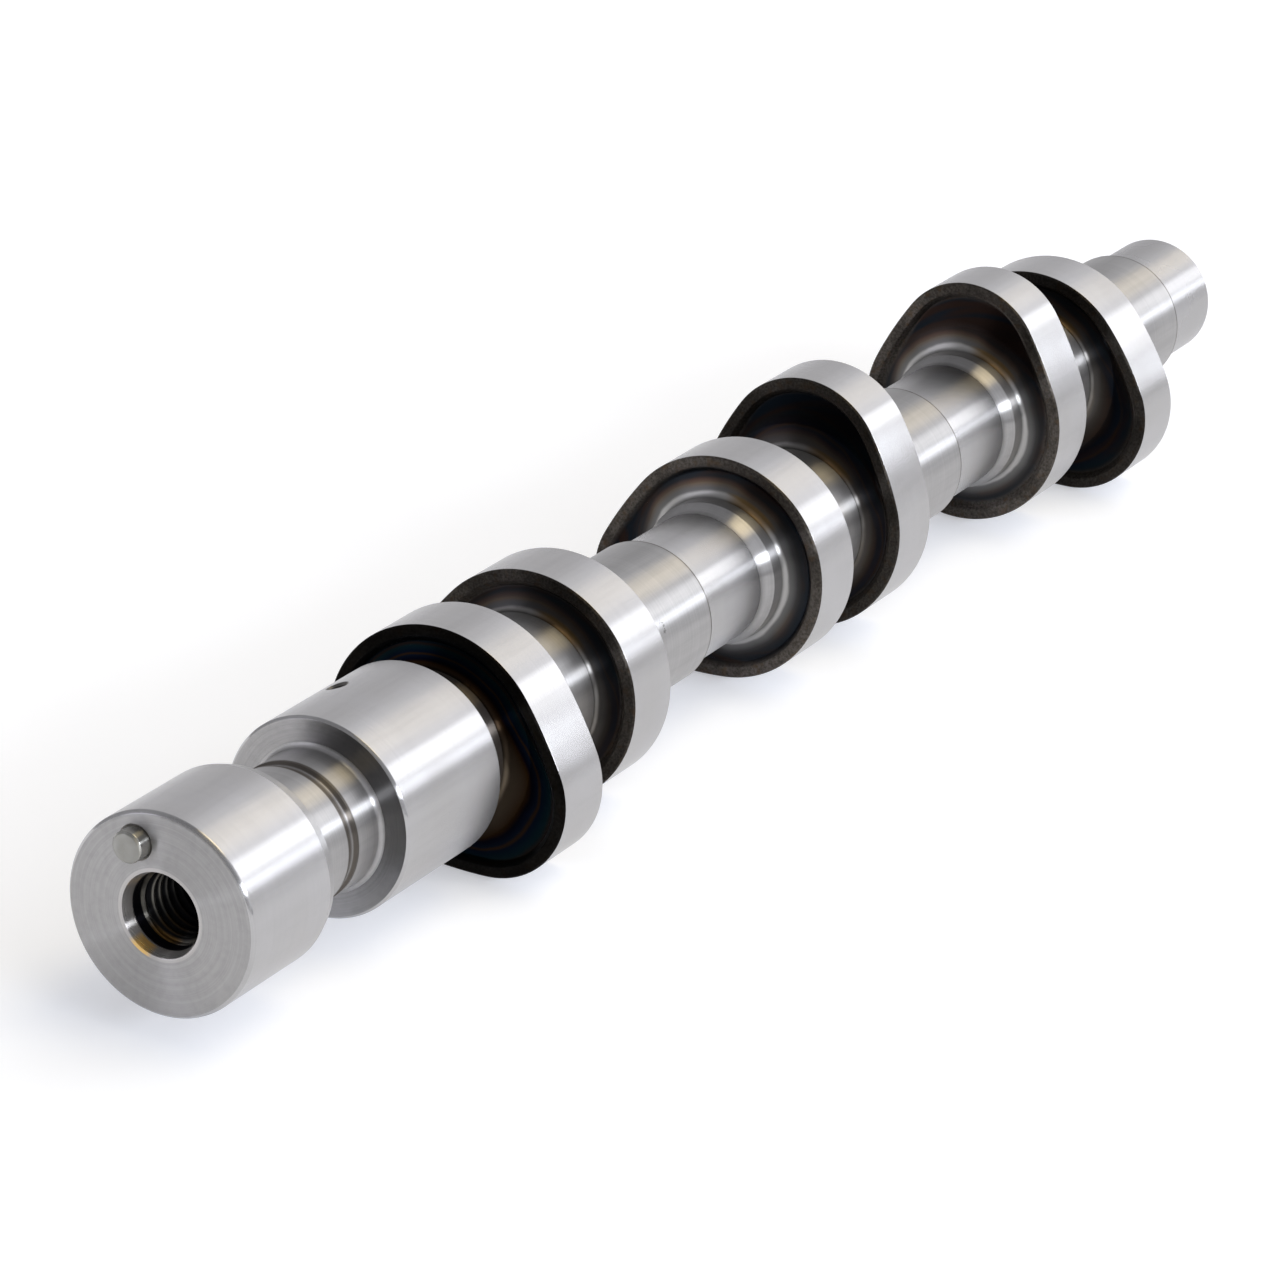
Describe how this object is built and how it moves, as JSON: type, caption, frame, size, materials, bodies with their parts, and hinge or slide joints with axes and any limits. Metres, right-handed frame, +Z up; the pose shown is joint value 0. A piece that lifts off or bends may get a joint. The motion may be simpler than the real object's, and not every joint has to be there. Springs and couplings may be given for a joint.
{
  "type": "overhead camshaft",
  "caption": "Short steel camshaft with paired cams, ground bearing journals, a relieved neck and a tapped nose with a locating dowel.",
  "frame": {"origin": "centre of the nose's end face, on the shaft's axis", "axes": "+X along the shaft from the nose to the rear end, +Z up as the shaft lies at rest on its cams"},
  "size_m": [0.3421, 0.0472, 0.0449],
  "materials": {
    "ground_steel": "turned and ground satin steel, with dark heat-tinted cam sides",
    "pin_steel": "smooth hardened steel"
  },
  "bodies": {
    "root": {"camshaft": "ground_steel", "dowel_pin": "pin_steel"}
  },
  "joints": []
}
